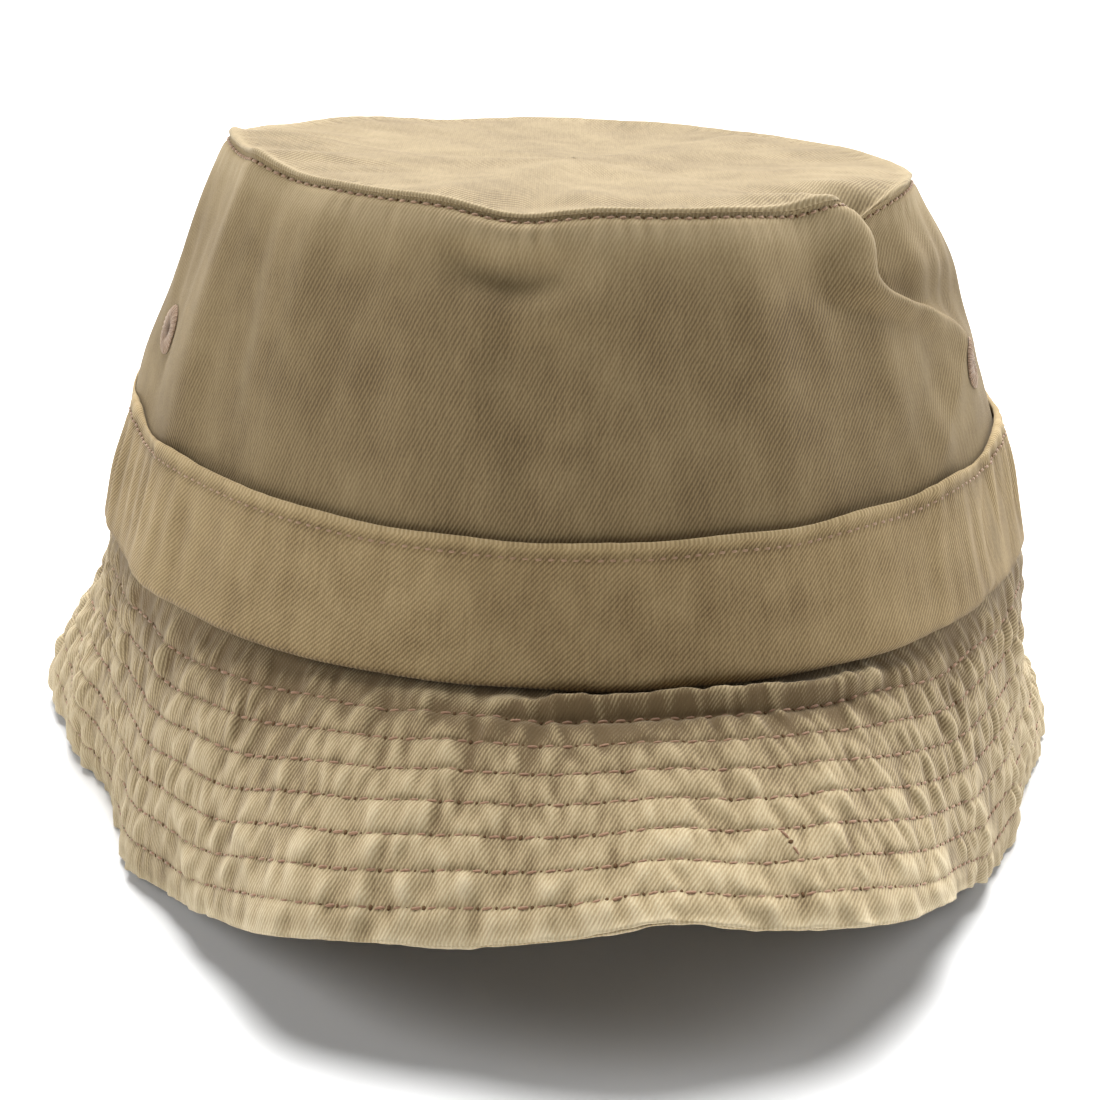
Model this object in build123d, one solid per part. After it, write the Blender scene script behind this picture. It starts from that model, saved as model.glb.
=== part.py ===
from build123d import *
import math
import os

# Bucket hat standing on its brim. Millimetres and degrees, +Z up, front towards -Y, +X to the right of
# someone who looks at the front. The pieces are first built about the joint between crown and brim, then
# all are moved together so that the origin lies on the table, under the middle of the hat.
# An azimuth runs round the hat from 0 at the front, through 90 at +X, to 180 at the back.

# Cloth
CLOTH = 1.0                  # one ply of washed cotton twill with its nap and pucker
GAP = 0.25                   # free space left between neighbouring pieces
TAPE = 0.6                   # bias tape that binds the inside seams
STIFFENER = 0.5              # nonwoven interlining inside the brim
THREAD = 0.4                 # topstitching thread

# Head opening and crown: every horizontal ring is an oval, longer front to back by twice OVAL
OVAL = 3.7
JOINT_HALF_WIDTH = 94.0      # outside of the crown wall at the joint with the brim
CROWN_HEIGHT = 72.5          # joint to crown seam, at the sides
CROWN_LEAN = 17.2            # how far the wall leans in over its height
CROWN_CURVE = 8.6            # further inward curve of the wall near the top
SEAM_RISE_X = -0.031         # slope of the soft crown's seam plane towards +X
SEAM_RISE_Y = -0.058         # slope of the soft crown's seam plane towards +Y
SIDE_SEAMS = (-90, 90)

# Folded band round the foot of the crown
BAND_HEIGHT = 26.0
BAND_THICKNESS = 1.7
BAND_STITCH_DROP = 2.5       # topstitch line below the band's upper fold

# Brim
BRIM_WIDTH = 51.0            # measured on the cloth, joint to turned edge
FIRST_ROW = 8.3              # first stitch row from the joint
ROW_PITCH = 6.2
ROW_COUNT = 7
STIFFENER_MARGIN = 3.0       # turned edge left free of interlining

# Droop of the brim: azimuth, slope below level at the joint, slope below level at the edge
BRIM_DROOP = (
    (0, 12, 42),
    (20, 14, 47),
    (33, 35, 74),
    (46, 56, 85),
    (62, 69, 92),
    (78, 66, 88),
    (95, 62, 84),
    (112, 62, 86),
    (124, 57, 84),
    (140, 38, 74),
    (160, 24, 54),
    (180, 20, 50),
    (200, 24, 54),
    (220, 38, 74),
    (236, 60, 86),
    (252, 64, 84),
    (270, 58, 78),
    (285, 64, 84),
    (298, 72, 92),
    (315, 58, 86),
    (328, 38, 74),
    (343, 20, 54),
)

# Inner pieces
SWEATBAND_HEIGHT = 30.0
SWEATBAND_THICKNESS = 0.8
SEAM_TAPE_WIDTH = 6.0
SIDE_TAPE_WIDTH = 10.0

# Embroidered ventilation eyelets, two about each side seam
EYELETS = {"eyelet_left_front": -75, "eyelet_left_back": -105,
           "eyelet_right_front": 70, "eyelet_right_back": 110}
EYELET_HEIGHT = 0.55         # share of the crown height
EYELET_RADIUS = 5.0
EYELET_HOLE = 1.1
EYELET_SLEEVE = 1.7          # thread collar through the cloth
EYELET_PAD = 1.1             # height of the thread ring on the cloth

SECTION_STEP = 9.0           # azimuth between the sections that a ring is lofted through
BUTT = 0.1                   # azimuth left free at each end of a strip, where it meets the next


def oval_point(azimuth, half_width, height):
    turn = math.radians(azimuth)
    return Vector(half_width * math.sin(turn), -(half_width + OVAL) * math.cos(turn), height)


def seam_height(azimuth):
    on_seam = oval_point(azimuth, JOINT_HALF_WIDTH - CROWN_LEAN - CROWN_CURVE, 0)
    return CROWN_HEIGHT + SEAM_RISE_X * on_seam.X + SEAM_RISE_Y * on_seam.Y


def crown_half_width(azimuth, height):
    share = height / seam_height(azimuth)
    return JOINT_HALF_WIDTH - CROWN_LEAN * share - CROWN_CURVE * share**2


def droop(azimuth):
    """Slopes of the brim at its joint and edge, smoothly interpolated between the stations."""
    azimuth %= 360
    count = len(BRIM_DROOP)
    after = next((i for i, row in enumerate(BRIM_DROOP) if row[0] > azimuth), count)
    rows = []
    for step in (-2, -1, 0, 1):
        lap, index = divmod(after + step, count)
        rows.append((BRIM_DROOP[index][0] + 360 * lap, *BRIM_DROOP[index][1:]))
    span = rows[2][0] - rows[1][0]
    share = (azimuth - rows[1][0]) / span
    slopes = []
    for column in (1, 2):
        start, end = rows[1][column], rows[2][column]
        pull_in = (end - rows[0][column]) / (rows[2][0] - rows[0][0]) * span
        pull_out = (rows[3][column] - start) / (rows[3][0] - rows[1][0]) * span
        slopes.append(
            start * (1 + 2 * share) * (1 - share)**2 + pull_in * share * (1 - share)**2
            + end * share**2 * (3 - 2 * share) + pull_out * share**2 * (share - 1)
        )
    return [math.radians(slope) for slope in slopes]


def brim_spot(azimuth, along, off):
    """Half-width and height at a distance along the brim's upper face and a distance off it, up being +."""
    at_joint, at_edge = droop(azimuth)
    bend = (at_edge - at_joint) / BRIM_WIDTH
    slope = at_joint + bend * along
    out = (math.sin(slope) - math.sin(at_joint)) / bend
    down = (math.cos(at_joint) - math.cos(slope)) / bend
    start = JOINT_HALF_WIDTH - CLOTH
    return start + out + off * math.sin(slope), -down + off * math.cos(slope)


def wall_spot(azimuth, height, off):
    """Half-width and height at a height on the crown wall's outer face, a distance outwards from it."""
    return crown_half_width(azimuth, height) + off, height


def section(azimuth, near, far):
    """Closed face in the upright plane at an azimuth, between two curves given as (half-width, height)."""
    near = [oval_point(azimuth, *spot) for spot in near]
    far = [oval_point(azimuth, *spot) for spot in far]
    even = steps(0, 1, len(near))
    edges = [Edge.make_spline(near, parameters=even), Edge.make_line(near[-1], far[-1]),
             Edge.make_spline(far[::-1], parameters=even), Edge.make_line(far[0], near[0])]
    return Face(Wire(edges))


def strip(start, end, spots):
    """Solid between two azimuths; spots(azimuth) gives the near and far curves of its section."""
    count = max(2, round((end - start) / SECTION_STEP))
    azimuths = [start + BUTT + (end - start - 2 * BUTT) * i / count for i in range(count + 1)]
    return loft([section(azimuth, *spots(azimuth)) for azimuth in azimuths])


def steps(low, high, count=5):
    return [low + (high - low) * i / (count - 1) for i in range(count)]


def wall_layer(low, high, inner, outer):
    """Section of a layer on the crown wall; low and high give heights at an azimuth."""
    def spots(azimuth):
        heights = steps(low(azimuth), high(azimuth))
        return ([wall_spot(azimuth, height, inner) for height in heights],
                [wall_spot(azimuth, height, outer) for height in heights])
    return spots


def brim_layer(near, far, lower, upper):
    def spots(azimuth):
        runs = steps(near, far)
        return ([brim_spot(azimuth, run, lower) for run in runs],
                [brim_spot(azimuth, run, upper) for run in runs])
    return spots


def at_seam(drop):
    return lambda azimuth: seam_height(azimuth) - drop


def level(height):
    return lambda azimuth: height


def crown_top():
    """Oval panel in the seam plane."""
    half_width = JOINT_HALF_WIDTH - CROWN_LEAN - CROWN_CURVE
    column = extrude(Ellipse(half_width, half_width + OVAL), 2 * CROWN_HEIGHT)
    tilt = Plane(origin=(0, 0, CROWN_HEIGHT), x_dir=(1, 0, SEAM_RISE_X), z_dir=(-SEAM_RISE_X, -SEAM_RISE_Y, 1))
    side = 4 * half_width
    sheet = tilt * Box(side, side, CLOTH, align=(Align.CENTER, Align.CENTER, Align.MIN))
    return column & sheet


def eyelet_plane(azimuth):
    """Plane on the crown wall at an eyelet, facing outwards."""
    height = EYELET_HEIGHT * seam_height(azimuth)
    here = oval_point(azimuth, *wall_spot(azimuth, height, 0))
    above = oval_point(azimuth, *wall_spot(azimuth, height + CLOTH, 0))
    beside = oval_point(azimuth + 1, *wall_spot(azimuth + 1, height, 0))
    outwards = (beside - here).cross(above - here)
    return Plane(origin=here, x_dir=beside - here, z_dir=outwards)


def eyelet(azimuth):
    """Embroidered ring: a thread pad on the cloth and a collar through it."""
    spot = eyelet_plane(azimuth)
    pad = Cylinder(EYELET_RADIUS, EYELET_PAD, align=(Align.CENTER, Align.CENTER, Align.MIN))
    collar = Cylinder(EYELET_SLEEVE, 2 * CLOTH, align=(Align.CENTER, Align.CENTER, Align.MAX))
    hole = Cylinder(EYELET_HOLE, 8 * CLOTH)
    return spot * (Pos(0, 0, GAP) * pad + Pos(0, 0, GAP) * collar - hole)


def crown_side(start, end):
    """Half of the crown wall, with its eyelet holes."""
    wall = strip(start, end, wall_layer(level(GAP), at_seam(GAP), -CLOTH, 0))
    for azimuth in EYELETS.values():
        if start < azimuth % 360 < end or start < azimuth < end:
            wall -= eyelet_plane(azimuth) * Cylinder(EYELET_SLEEVE + GAP, 6 * CLOTH)
    return wall


def hat_band():
    """Folded strip round the foot of the crown, its ends meeting at the back."""
    return strip(-180, 180, wall_layer(level(GAP), level(BAND_HEIGHT), GAP, GAP + BAND_THICKNESS))


def brim_upper(start, end):
    return strip(start, end, brim_layer(0, BRIM_WIDTH, -CLOTH, 0))


def brim_interlining(start, end):
    """Stiffener between the brim's two plies, short of the turned edge."""
    top = -CLOTH - GAP
    return strip(start, end, brim_layer(0, BRIM_WIDTH - STIFFENER_MARGIN, top - STIFFENER, top))


def brim_under(start, end):
    top = -CLOTH - STIFFENER - 2 * GAP
    return strip(start, end, brim_layer(0, BRIM_WIDTH, top - CLOTH, top))


def sweatband():
    """Lining strip inside the head opening."""
    face = -CLOTH - GAP
    return strip(-180, 180, wall_layer(level(GAP), level(SWEATBAND_HEIGHT), face - SWEATBAND_THICKNESS, face))


def crown_seam_tape():
    """Tape over the raw edges inside the crown seam."""
    face = -CLOTH - GAP
    return strip(-180, 180, wall_layer(at_seam(SEAM_TAPE_WIDTH), at_seam(GAP), face - TAPE, face))


def side_seam_tape(azimuth):
    """Tape over a side seam, between the sweatband and the crown seam tape."""
    face = -CLOTH - GAP
    half = math.degrees(SIDE_TAPE_WIDTH / 2 / crown_half_width(azimuth, CROWN_HEIGHT / 2))
    spots = wall_layer(level(SWEATBAND_HEIGHT + GAP), at_seam(SEAM_TAPE_WIDTH + GAP), face - TAPE, face)
    return strip(azimuth - half, azimuth + half, spots)


def wall_thread(height, inner):
    """Line of topstitching round the wall; height gives the middle of the line at an azimuth."""
    def low(azimuth):
        return height(azimuth) - THREAD / 2

    def high(azimuth):
        return height(azimuth) + THREAD / 2
    return strip(-180, 180, wall_layer(low, high, inner, inner + THREAD))


def brim_stitching(start, end):
    """One line of thread for each stitch row on the brim."""
    off = GAP / 2
    rows = [FIRST_ROW + ROW_PITCH * i for i in range(ROW_COUNT)]
    layers = [brim_layer(row - THREAD / 2, row + THREAD / 2, off, off + THREAD) for row in rows]
    return Compound(children=[strip(start, end, layer) for layer in layers])


def build():
    halves = {"front": (SIDE_SEAMS[0], SIDE_SEAMS[1]), "back": (SIDE_SEAMS[1], SIDE_SEAMS[0] + 360)}
    parts = {"crown_top": crown_top()}
    for name, (start, end) in halves.items():
        parts["crown_side_" + name] = crown_side(start, end)
        parts["brim_upper_" + name] = brim_upper(start, end)
        parts["brim_interlining_" + name] = brim_interlining(start, end)
        parts["brim_under_" + name] = brim_under(start, end)
        parts["brim_stitching_" + name] = brim_stitching(start, end)
    parts["hat_band"] = hat_band()
    parts["sweatband"] = sweatband()
    parts["crown_seam_tape"] = crown_seam_tape()
    parts["side_seam_tape_left"] = side_seam_tape(SIDE_SEAMS[0])
    parts["side_seam_tape_right"] = side_seam_tape(SIDE_SEAMS[1])
    for name, azimuth in EYELETS.items():
        parts[name] = eyelet(azimuth)
    off = GAP / 2
    parts["crown_seam_stitching"] = wall_thread(at_seam(2 * CLOTH), off)
    parts["band_stitching"] = wall_thread(level(BAND_HEIGHT - BAND_STITCH_DROP), BAND_THICKNESS + GAP + off)
    inside = -CLOTH - GAP - SWEATBAND_THICKNESS - THREAD - off
    parts["sweatband_stitching"] = wall_thread(level(2 * CLOTH), inside)
    return parts


parts = build()
box = Compound(children=[part.moved(Location()) for part in parts.values()]).bounding_box()
to_table = Pos(-box.center().X, -box.center().Y, -box.min.Z)
os.makedirs("parts", exist_ok=True)
for name, part in parts.items():
    export_step(part.moved(to_table), f"parts/{name}.step")
print("size", box.size, "joint height", -box.min.Z, "moved by", to_table.position)
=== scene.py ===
import math
import bmesh
import bpy
import numpy as np
from mathutils import Matrix, Vector
from mathutils.bvhtree import BVHTree


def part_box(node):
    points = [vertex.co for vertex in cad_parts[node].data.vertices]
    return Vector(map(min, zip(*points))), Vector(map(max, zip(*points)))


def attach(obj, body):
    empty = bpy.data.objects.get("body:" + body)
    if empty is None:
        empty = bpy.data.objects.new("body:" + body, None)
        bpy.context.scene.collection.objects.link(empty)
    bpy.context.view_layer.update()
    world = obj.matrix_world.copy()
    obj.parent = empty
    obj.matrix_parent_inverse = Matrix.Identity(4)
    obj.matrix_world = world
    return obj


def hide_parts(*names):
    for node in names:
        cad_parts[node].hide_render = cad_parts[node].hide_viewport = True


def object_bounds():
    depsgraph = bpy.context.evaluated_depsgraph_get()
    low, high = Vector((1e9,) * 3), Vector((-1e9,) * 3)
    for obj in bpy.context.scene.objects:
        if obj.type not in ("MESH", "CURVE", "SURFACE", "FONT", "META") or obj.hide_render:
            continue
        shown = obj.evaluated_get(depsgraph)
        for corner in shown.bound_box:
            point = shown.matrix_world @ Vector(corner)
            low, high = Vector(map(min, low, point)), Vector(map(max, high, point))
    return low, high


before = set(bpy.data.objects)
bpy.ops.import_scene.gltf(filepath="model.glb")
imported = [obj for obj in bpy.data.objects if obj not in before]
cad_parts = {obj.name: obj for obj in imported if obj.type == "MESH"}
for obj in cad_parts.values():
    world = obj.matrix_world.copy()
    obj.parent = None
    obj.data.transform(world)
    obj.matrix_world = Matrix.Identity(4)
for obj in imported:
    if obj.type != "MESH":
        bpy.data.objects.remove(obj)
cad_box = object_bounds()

# Washed cotton bucket hat. Lengths are in metres, and MM turns millimetres into them. Azimuths are degrees
# round the hat: 0 at the front (-Y), 90 at +X, 180 at the back, 270 at -X.
MM = 0.001
rng = np.random.default_rng(20)
join = np.concatenate

# Facts the looks share with the CAD part
CLOTH = 0.8 * MM             # visible thickness of one ply
BRIM_WIDTH = 51.0 * MM
FIRST_ROW = 8.3 * MM         # from the joint of brim and crown to the first stitch row
ROW_PITCH = 6.2 * MM
ROW_COUNT = 7
ROWS = [FIRST_ROW + ROW_PITCH * i for i in range(ROW_COUNT)]
UNDER_FACE = -2.75 * MM      # lower face of the brim, off its upper face
BAND_THICK = 1.7 * MM
STITCH_DROP = 1.45 * MM      # crown topstitch below the crown seam
BAND_STITCH_DROP = 2.6 * MM  # band topstitch below the band's fold

band_low, band_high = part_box("hat_band")
top_low, top_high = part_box("crown_top")
CENTRE = (band_low + band_high) / 2
OVAL = ((band_high.y - band_low.y) - (band_high.x - band_low.x)) / 2
JOINT_Z = band_low.z
BAND_TOP = band_high.z - band_low.z
SEAM_HALF = (top_high.x - top_low.x) / 2


# ---- curves and noise

def bell(x, width):
    return np.exp(-(x / width)**2)


def ease(x, low, high):
    """Smooth step from 0 at low to 1 at high. low may be the larger."""
    t = np.clip((x - low) / (high - low), 0, 1)
    return t * t * (3 - 2 * t)


def signed(azimuth):
    """Azimuth between -180 and 180."""
    return (np.asarray(azimuth) + 180) % 360 - 180


def cubic(p0, p1, p2, p3, t):
    """Catmull-Rom between p1 and p2."""
    bend = 2 * p0 - 5 * p1 + 4 * p2 - p3 + t * (3 * (p1 - p2) + p3 - p0)
    return p1 + 0.5 * t * (p2 - p0 + t * bend)


class Noise:
    """Smooth repeatable noise on a plane that wraps round the hat: sums of turned waves with random phase."""

    def __init__(self, seed, around, across, count=40, spread=0.6):
        draw = np.random.default_rng(seed)
        self.k = np.maximum(1, np.round(360 / around * (1 + spread * draw.uniform(-1, 1, count))))
        self.m = 2 * math.pi / across * (spread * draw.uniform(-1, 1, count))
        self.phase = draw.uniform(0, 2 * math.pi, count)
        self.weight = draw.uniform(0.4, 1, count)
        self.weight /= math.sqrt((self.weight**2).sum() / 2)

    def __call__(self, azimuth, v):
        azimuth, v = np.broadcast_arrays(np.radians(azimuth), v)
        total = np.zeros(azimuth.shape)
        for k, m, phase, weight in zip(self.k, self.m, self.phase, self.weight):
            total += weight * np.sin(k * azimuth + m * v + phase)
        return total


# seed, degrees between folds, distance between them across the cloth, number of waves, spread of their sizes
crown_noise = Noise(1, 30, 60 * MM, 24)
top_noise = Noise(2, 70, 70 * MM, 16)
fine_crown = Noise(3, 9, 20 * MM, 30)
seam_pucker = Noise(4, 3.1, 1, 24, 0.25)
band_noise = Noise(5, 5.5, 60 * MM, 30)
band_broad = Noise(6, 26, 80 * MM, 20)
brim_broad = Noise(7, 34, 200 * MM, 16)
brim_fold = Noise(8, 11, 26 * MM, 36, 0.8)
brim_pucker = Noise(9, 4.8, 11 * MM, 48, 0.8)
brim_fine = Noise(10, 2.5, 5.5 * MM, 48, 0.8)
row_jitter = Noise(12, 24, 40 * MM, 12)


# ---- even shape, measured on the CAD solids

def cad_tree(*names):
    """Ray-cast tree of some CAD nodes together."""
    points, faces = [], []
    for name in names:
        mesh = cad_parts[name].data
        start = len(points)
        points += [vertex.co.copy() for vertex in mesh.vertices]
        faces += [[start + i for i in polygon.vertices] for polygon in mesh.polygons]
    return BVHTree.FromPolygons(points, faces)


def ring_dir(azimuth):
    turn = np.radians(azimuth)
    return np.sin(turn), -np.cos(turn)


def place(azimuth, half_width, height):
    """Points of the hat from azimuth, half-width of the oval there and height above the joint."""
    x, y = ring_dir(azimuth)
    return np.stack(np.broadcast_arrays(
        CENTRE.x + half_width * x, CENTRE.y + (half_width + OVAL) * y, JOINT_Z + height), -1)


def cast(tree, azimuth, start, aim):
    """Where a ray in an azimuth's upright plane, from start to aim as (half-width, height), meets a tree."""
    a = Vector(place(azimuth, *start).tolist())
    b = Vector(place(azimuth, *aim).tolist())
    hit = tree.ray_cast(a, (b - a).normalized(), (b - a).length)
    if hit[0] is None:
        return None
    along = (hit[0] - a).length / (b - a).length
    return (start[0] + along * (aim[0] - start[0]), start[1] + along * (aim[1] - start[1]))


PROBE = 30 * MM              # distance between the spots where the crown's top is measured
SEAM_DROP = 0.45 * MM        # seam below the middle of the top
BACK_FALL = 0.032            # slope by which the seam falls to the back, beyond the top's own


def seam_plane():
    """Mean plane of the crown seam: height above the joint at the middle, slope along x, slope along y."""
    tree = cad_tree("crown_top")
    high = cad_box[1].z + 10 * MM
    z = []
    for x, y in ((0, 0), (PROBE, 0), (0, PROBE)):
        hit = tree.ray_cast(Vector((CENTRE.x + x, CENTRE.y + y, high)), Vector((0, 0, -1)))
        z.append(hit[0].z - JOINT_Z)
    return z[0] - SEAM_DROP, (z[1] - z[0]) / PROBE, (z[2] - z[0]) / PROBE - BACK_FALL


PLANE = seam_plane()


def seam_lift(azimuth):
    """Shoulders of the soft crown over the two side seams, and the step of the seam at the front left."""
    a = signed(azimuth)
    left = bell(a + 84, np.where(a > -84, 34, 13))
    right = bell(a - 80, np.where(a < 80, 26, 12))
    front = 2.0 * bell(a + 9, 9) - 0.3 * np.exp(-(a / 50)**4)
    return (2.3 * left + 1.8 * right - front) * MM


def seam_height(azimuth):
    x, y = ring_dir(azimuth)
    return PLANE[0] + PLANE[1] * SEAM_HALF * x + PLANE[2] * (SEAM_HALF + OVAL) * y + seam_lift(azimuth)


OUTSIDE, INSIDE = 0.15, 0.05  # half-widths between which rays look for the wall


def wall_curve():
    """Half-width of the wall's outer face as a quadratic of the share of height, averaged round the hat."""
    tree = cad_tree("crown_side_front", "crown_side_back")
    rows = []
    for azimuth in range(5, 360, 10):
        seam = float(seam_height(azimuth))
        for share in (0.03, 0.15, 0.3, 0.45, 0.6, 0.75, 0.9, 0.96):
            hit = cast(tree, azimuth, (OUTSIDE, share * seam), (INSIDE, share * seam))
            if hit:
                rows.append((share, hit[0]))
    share, half = np.array(rows).T
    return np.polyfit(share, half, 2)


WALL = wall_curve()
BRIM_STEP = 3                # degrees between the brim's measured sections
BRIM_RUNS = 27               # points kept on each section
RAY_REACH = 0.16


def wall_half(azimuth, height):
    return np.polyval(WALL, height / seam_height(azimuth))


def brim_section(tree, azimuth):
    """(half-width, height) of the brim's upper face at even distances from the joint, along one azimuth."""
    focus = (np.polyval(WALL, 0) - 19 * MM, -52 * MM)
    path = []
    for angle in np.radians(np.arange(74, -8, -0.75)):
        far = (focus[0] + RAY_REACH * math.cos(angle), focus[1] + RAY_REACH * math.sin(angle))
        hit = cast(tree, azimuth, far, focus)
        if hit is not None:
            path.append(hit)
    path = np.array(path)
    run = join([[0], np.cumsum(np.hypot(*np.diff(path, axis=0).T))])
    keep = run < BRIM_WIDTH - 1.2 * MM
    wanted = np.linspace(0, BRIM_WIDTH, BRIM_RUNS)
    fits = [np.polyfit(run[keep], path[keep, i], 5) for i in (0, 1)]
    return np.stack([np.polyval(fit, wanted) for fit in fits], -1)


def brim_table():
    """Sections of the brim all the way round, smoothed from one to the next."""
    tree = cad_tree("brim_upper_front", "brim_upper_back")
    table = np.array([brim_section(tree, azimuth + 0.4) for azimuth in range(0, 360, BRIM_STEP)])
    for _ in range(2):
        table = (np.roll(table, 1, 0) + 2 * table + np.roll(table, -1, 0)) / 4
    return table


BRIM = brim_table()


def brim_base(azimuth, run):
    """(half-width, height) arrays of the brim's upper face."""
    azimuth, run = np.broadcast_arrays(azimuth, run)
    a = (azimuth % 360) / BRIM_STEP
    i = np.floor(a).astype(int)
    b = np.clip(run / BRIM_WIDTH, 0, 1) * (BRIM_RUNS - 1)
    j = np.clip(np.floor(b).astype(int), 0, BRIM_RUNS - 2)
    part_a, part_b = (a - i)[..., None], (b - j)[..., None]

    def section(k):
        turn = (i + k) % len(BRIM)
        return cubic(*[BRIM[turn, np.clip(j + m, 0, BRIM_RUNS - 1)] for m in (-1, 0, 1, 2)], part_b)
    return cubic(*[section(k) for k in (-1, 0, 1, 2)], part_a)


# ---- soft shape of the crown

# Dents (-) and swellings: mm outwards, azimuth, its width, mm below the seam, its spread
CROWN_FORMS = (
    (-2.8, -9, 9, 10.5, 3.6),   # hollow under the seam at the front left
    (-1.0, -11, 14, 11, 8),
    (0.8, 8, 9, 15, 8),
    (1.1, -10, 9, 4.5, 3),      # lip above the hollow
    (1.5, -6, 8, 17, 3.6),      # fold below it
    (-1.8, 3, 15, -10, 6),      # shallow dip of the top behind the hollow
    (-1.6, 84, 14, 0, 12),      # shoulder at the right
    (-3.0, 205, 12, 14, 14),    # broad folds of the stuffed crown at the back
    (1.5, 160, 14, 24, 20),
)


def front_right_dent(a, below):
    """Dent pressed into the seam, with a sharp fold along its front side, in mm."""
    line = a - (50 + 0.85 * np.clip(below, -12, 34) - 9.5 * bell(below - 15.5, 6.5))
    dent = np.where(line < 0, bell(line, 3.6), bell(line, 15)) * ease(below, 36, 10) * ease(below, -16, -3)
    ridge = bell(line + 8, 6) * ease(below, 38, 14) * ease(below, -14, -2)
    return 2.4 * ridge - 8.5 * dent - 2.0 * bell(line + 16, 6) * bell(below - 11, 8)


def side_folds(a, up):
    """Upright folds at both sides, in front of the eyelets, in mm. up is mm above the joint."""
    low = ease(up, 16, 30)
    right = a - np.clip(up + 24, 48, 70)
    crest = np.where(right < 0, np.exp(np.minimum(right, 0) / 3.2), bell(right, 5))
    out = (0.9 * crest - 1.0 * bell(right + 9, 6) - 0.7 * bell(a - 73, 8)) * low * ease(up, 58, 46)
    out = out - 1.5 * bell(a - 93, 14) * ease(up, 14, 22) * ease(up, 50, 34)
    out = out + (1.0 * bell(a + 60, 3.6) - 0.6 * bell(a + 71, 7) - 1.2 * bell(a + 48, 8)) * low
    return out + 2.3 * bell(a + 96, 14) * ease(up, 16, 25) * ease(up, 48, 30)


def crown_depth(azimuth, path):
    """How far the soft crown stands out of its even shape. path runs up the wall and on over the top."""
    a, up = signed(azimuth), path / MM
    below = seam_height(azimuth) / MM - up
    calm = 1 - 0.75 * bell(below, 9)
    out = 0.5 * crown_noise(azimuth, path) * ease(up, 20, 40) * calm
    out = out + 0.14 * fine_crown(azimuth, path) * ease(up, 22, 34) * calm
    for amount, spot, width, drop, spread in CROWN_FORMS:
        out = out + amount * bell(signed(a - spot), width) * bell(below - drop, spread)
    # rounded shoulder under the front of the seam
    out = out - 1.8 * ease(abs(a), 62, 40) * np.clip(1 - np.abs(below) / 11, 0, 1)**2
    return (out + front_right_dent(a, below) + side_folds(a, up)) * MM


def lean(path, seam):
    """Slope of the outward direction above level: steep wall, corner, flat top."""
    return np.radians(22 + 68 * ease(path, seam - 10 * MM, seam + 12 * MM))


def wall_point(azimuth, height, off):
    """A point of the crown's wall: the even wall plus the soft crown's swell and an offset, along its lean."""
    swell = crown_depth(azimuth, height) + off
    angle = lean(height, seam_height(azimuth))
    return place(azimuth, wall_half(azimuth, height) + swell * np.cos(angle), height + swell * np.sin(angle))


# ---- meshes

RIM = 3                      # rows of points that round off an edge of cloth


def half_round(start, end, away):
    """Rows of points that round off an edge from start to end, bulging by away."""
    turns = [math.pi * (i + 1) / (RIM + 1) for i in range(RIM)]
    rows = [start + (end - start) * (1 - math.cos(turn)) / 2 + away * math.sin(turn) for turn in turns]
    return np.stack(rows, 1)


def outwards(last, before, reach):
    step = last - before
    return step / np.maximum(np.linalg.norm(step, axis=-1, keepdims=True), 1e-12) * reach


def end_cap(across, size):
    """Faces that close a short end of a shell, as places in its loop. A triangle repeats a corner."""
    k = np.arange(across - 1)
    opposite = 2 * across + RIM - 1 - k
    sides = np.stack([k, k + 1, opposite - 1, opposite], -1)
    edges = [[(first + v) % size for v in face]
             for first in (across - 1, 2 * across + RIM - 1) for face in ((0, 1, 2, 4), (2, 3, 3, 4))]
    return join([sides, edges])


def shell(name, outer, inner, uv, wear_and_shading=None, wrap=False):
    """Closed piece of cloth from two grids of points, [round, across, 3], with half-round long edges."""
    rounds, across = outer.shape[:2]
    reach = np.linalg.norm(outer - inner, axis=-1).mean(1)[:, None] / 2
    far = half_round(outer[:, -1], inner[:, -1], outwards(outer[:, -1], outer[:, -2], reach))
    near = half_round(inner[:, 0], outer[:, 0], outwards(outer[:, 0], outer[:, 1], reach))
    loop = join([outer, far, inner[:, ::-1], near], 1)
    source = np.array([*range(across), *[across - 1] * RIM, *range(across - 1, -1, -1), *[0] * RIM])
    size = loop.shape[1]
    i, j = np.indices((rounds if wrap else rounds - 1, size))
    columns = np.stack([i, i + 1, i + 1, i], -1).reshape(-1, 4)
    rows = np.stack([j, j, (j + 1) % size, (j + 1) % size], -1).reshape(-1, 4)
    if wrap:
        uv = join([uv, 2 * uv[-1:] - uv[-2:-1]])
    else:
        cap = end_cap(across, size)
        columns = join([columns, np.zeros_like(cap), np.full_like(cap, rounds - 1)])
        rows = join([rows, cap, cap[:, ::-1]])
    faces = [tuple(dict.fromkeys(face)) for face in ((columns % rounds) * size + rows).tolist()]
    keep = np.ones(rows.shape, bool)
    keep[:, 2] = rows[:, 2] != rows[:, 1]
    if wear_and_shading is not None:
        wear_and_shading = wear_and_shading + np.zeros((rounds, across))
        edges = [np.repeat(wear_and_shading[:, k:k + 1], RIM, 1) for k in (across - 1, 0)]
        wear_and_shading = join([wear_and_shading, edges[0], 0 * wear_and_shading, edges[1]], 1)
    return cloth_mesh(name, loop, faces, uv[columns, source[rows]][keep], wear_and_shading)


def cloth_mesh(name, points, faces, uv, wear_and_shading):
    """Mesh object with cloth coordinates at its corners, and wear_and_shading: real wear together with painted
    light and painted shade, higher is paler.
    """
    mesh = bpy.data.meshes.new(name)
    mesh.from_pydata(points.reshape(-1, 3).tolist(), [], faces)
    mesh.uv_layers.new(name="Cloth").data.foreach_set("uv", uv.astype(np.float32).ravel())
    if wear_and_shading is not None:
        attribute = mesh.attributes.new("wear_and_shading", "FLOAT", "POINT")
        attribute.data.foreach_set("value", wear_and_shading.astype(np.float32).ravel())
    return finish_mesh(name, mesh)


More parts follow.
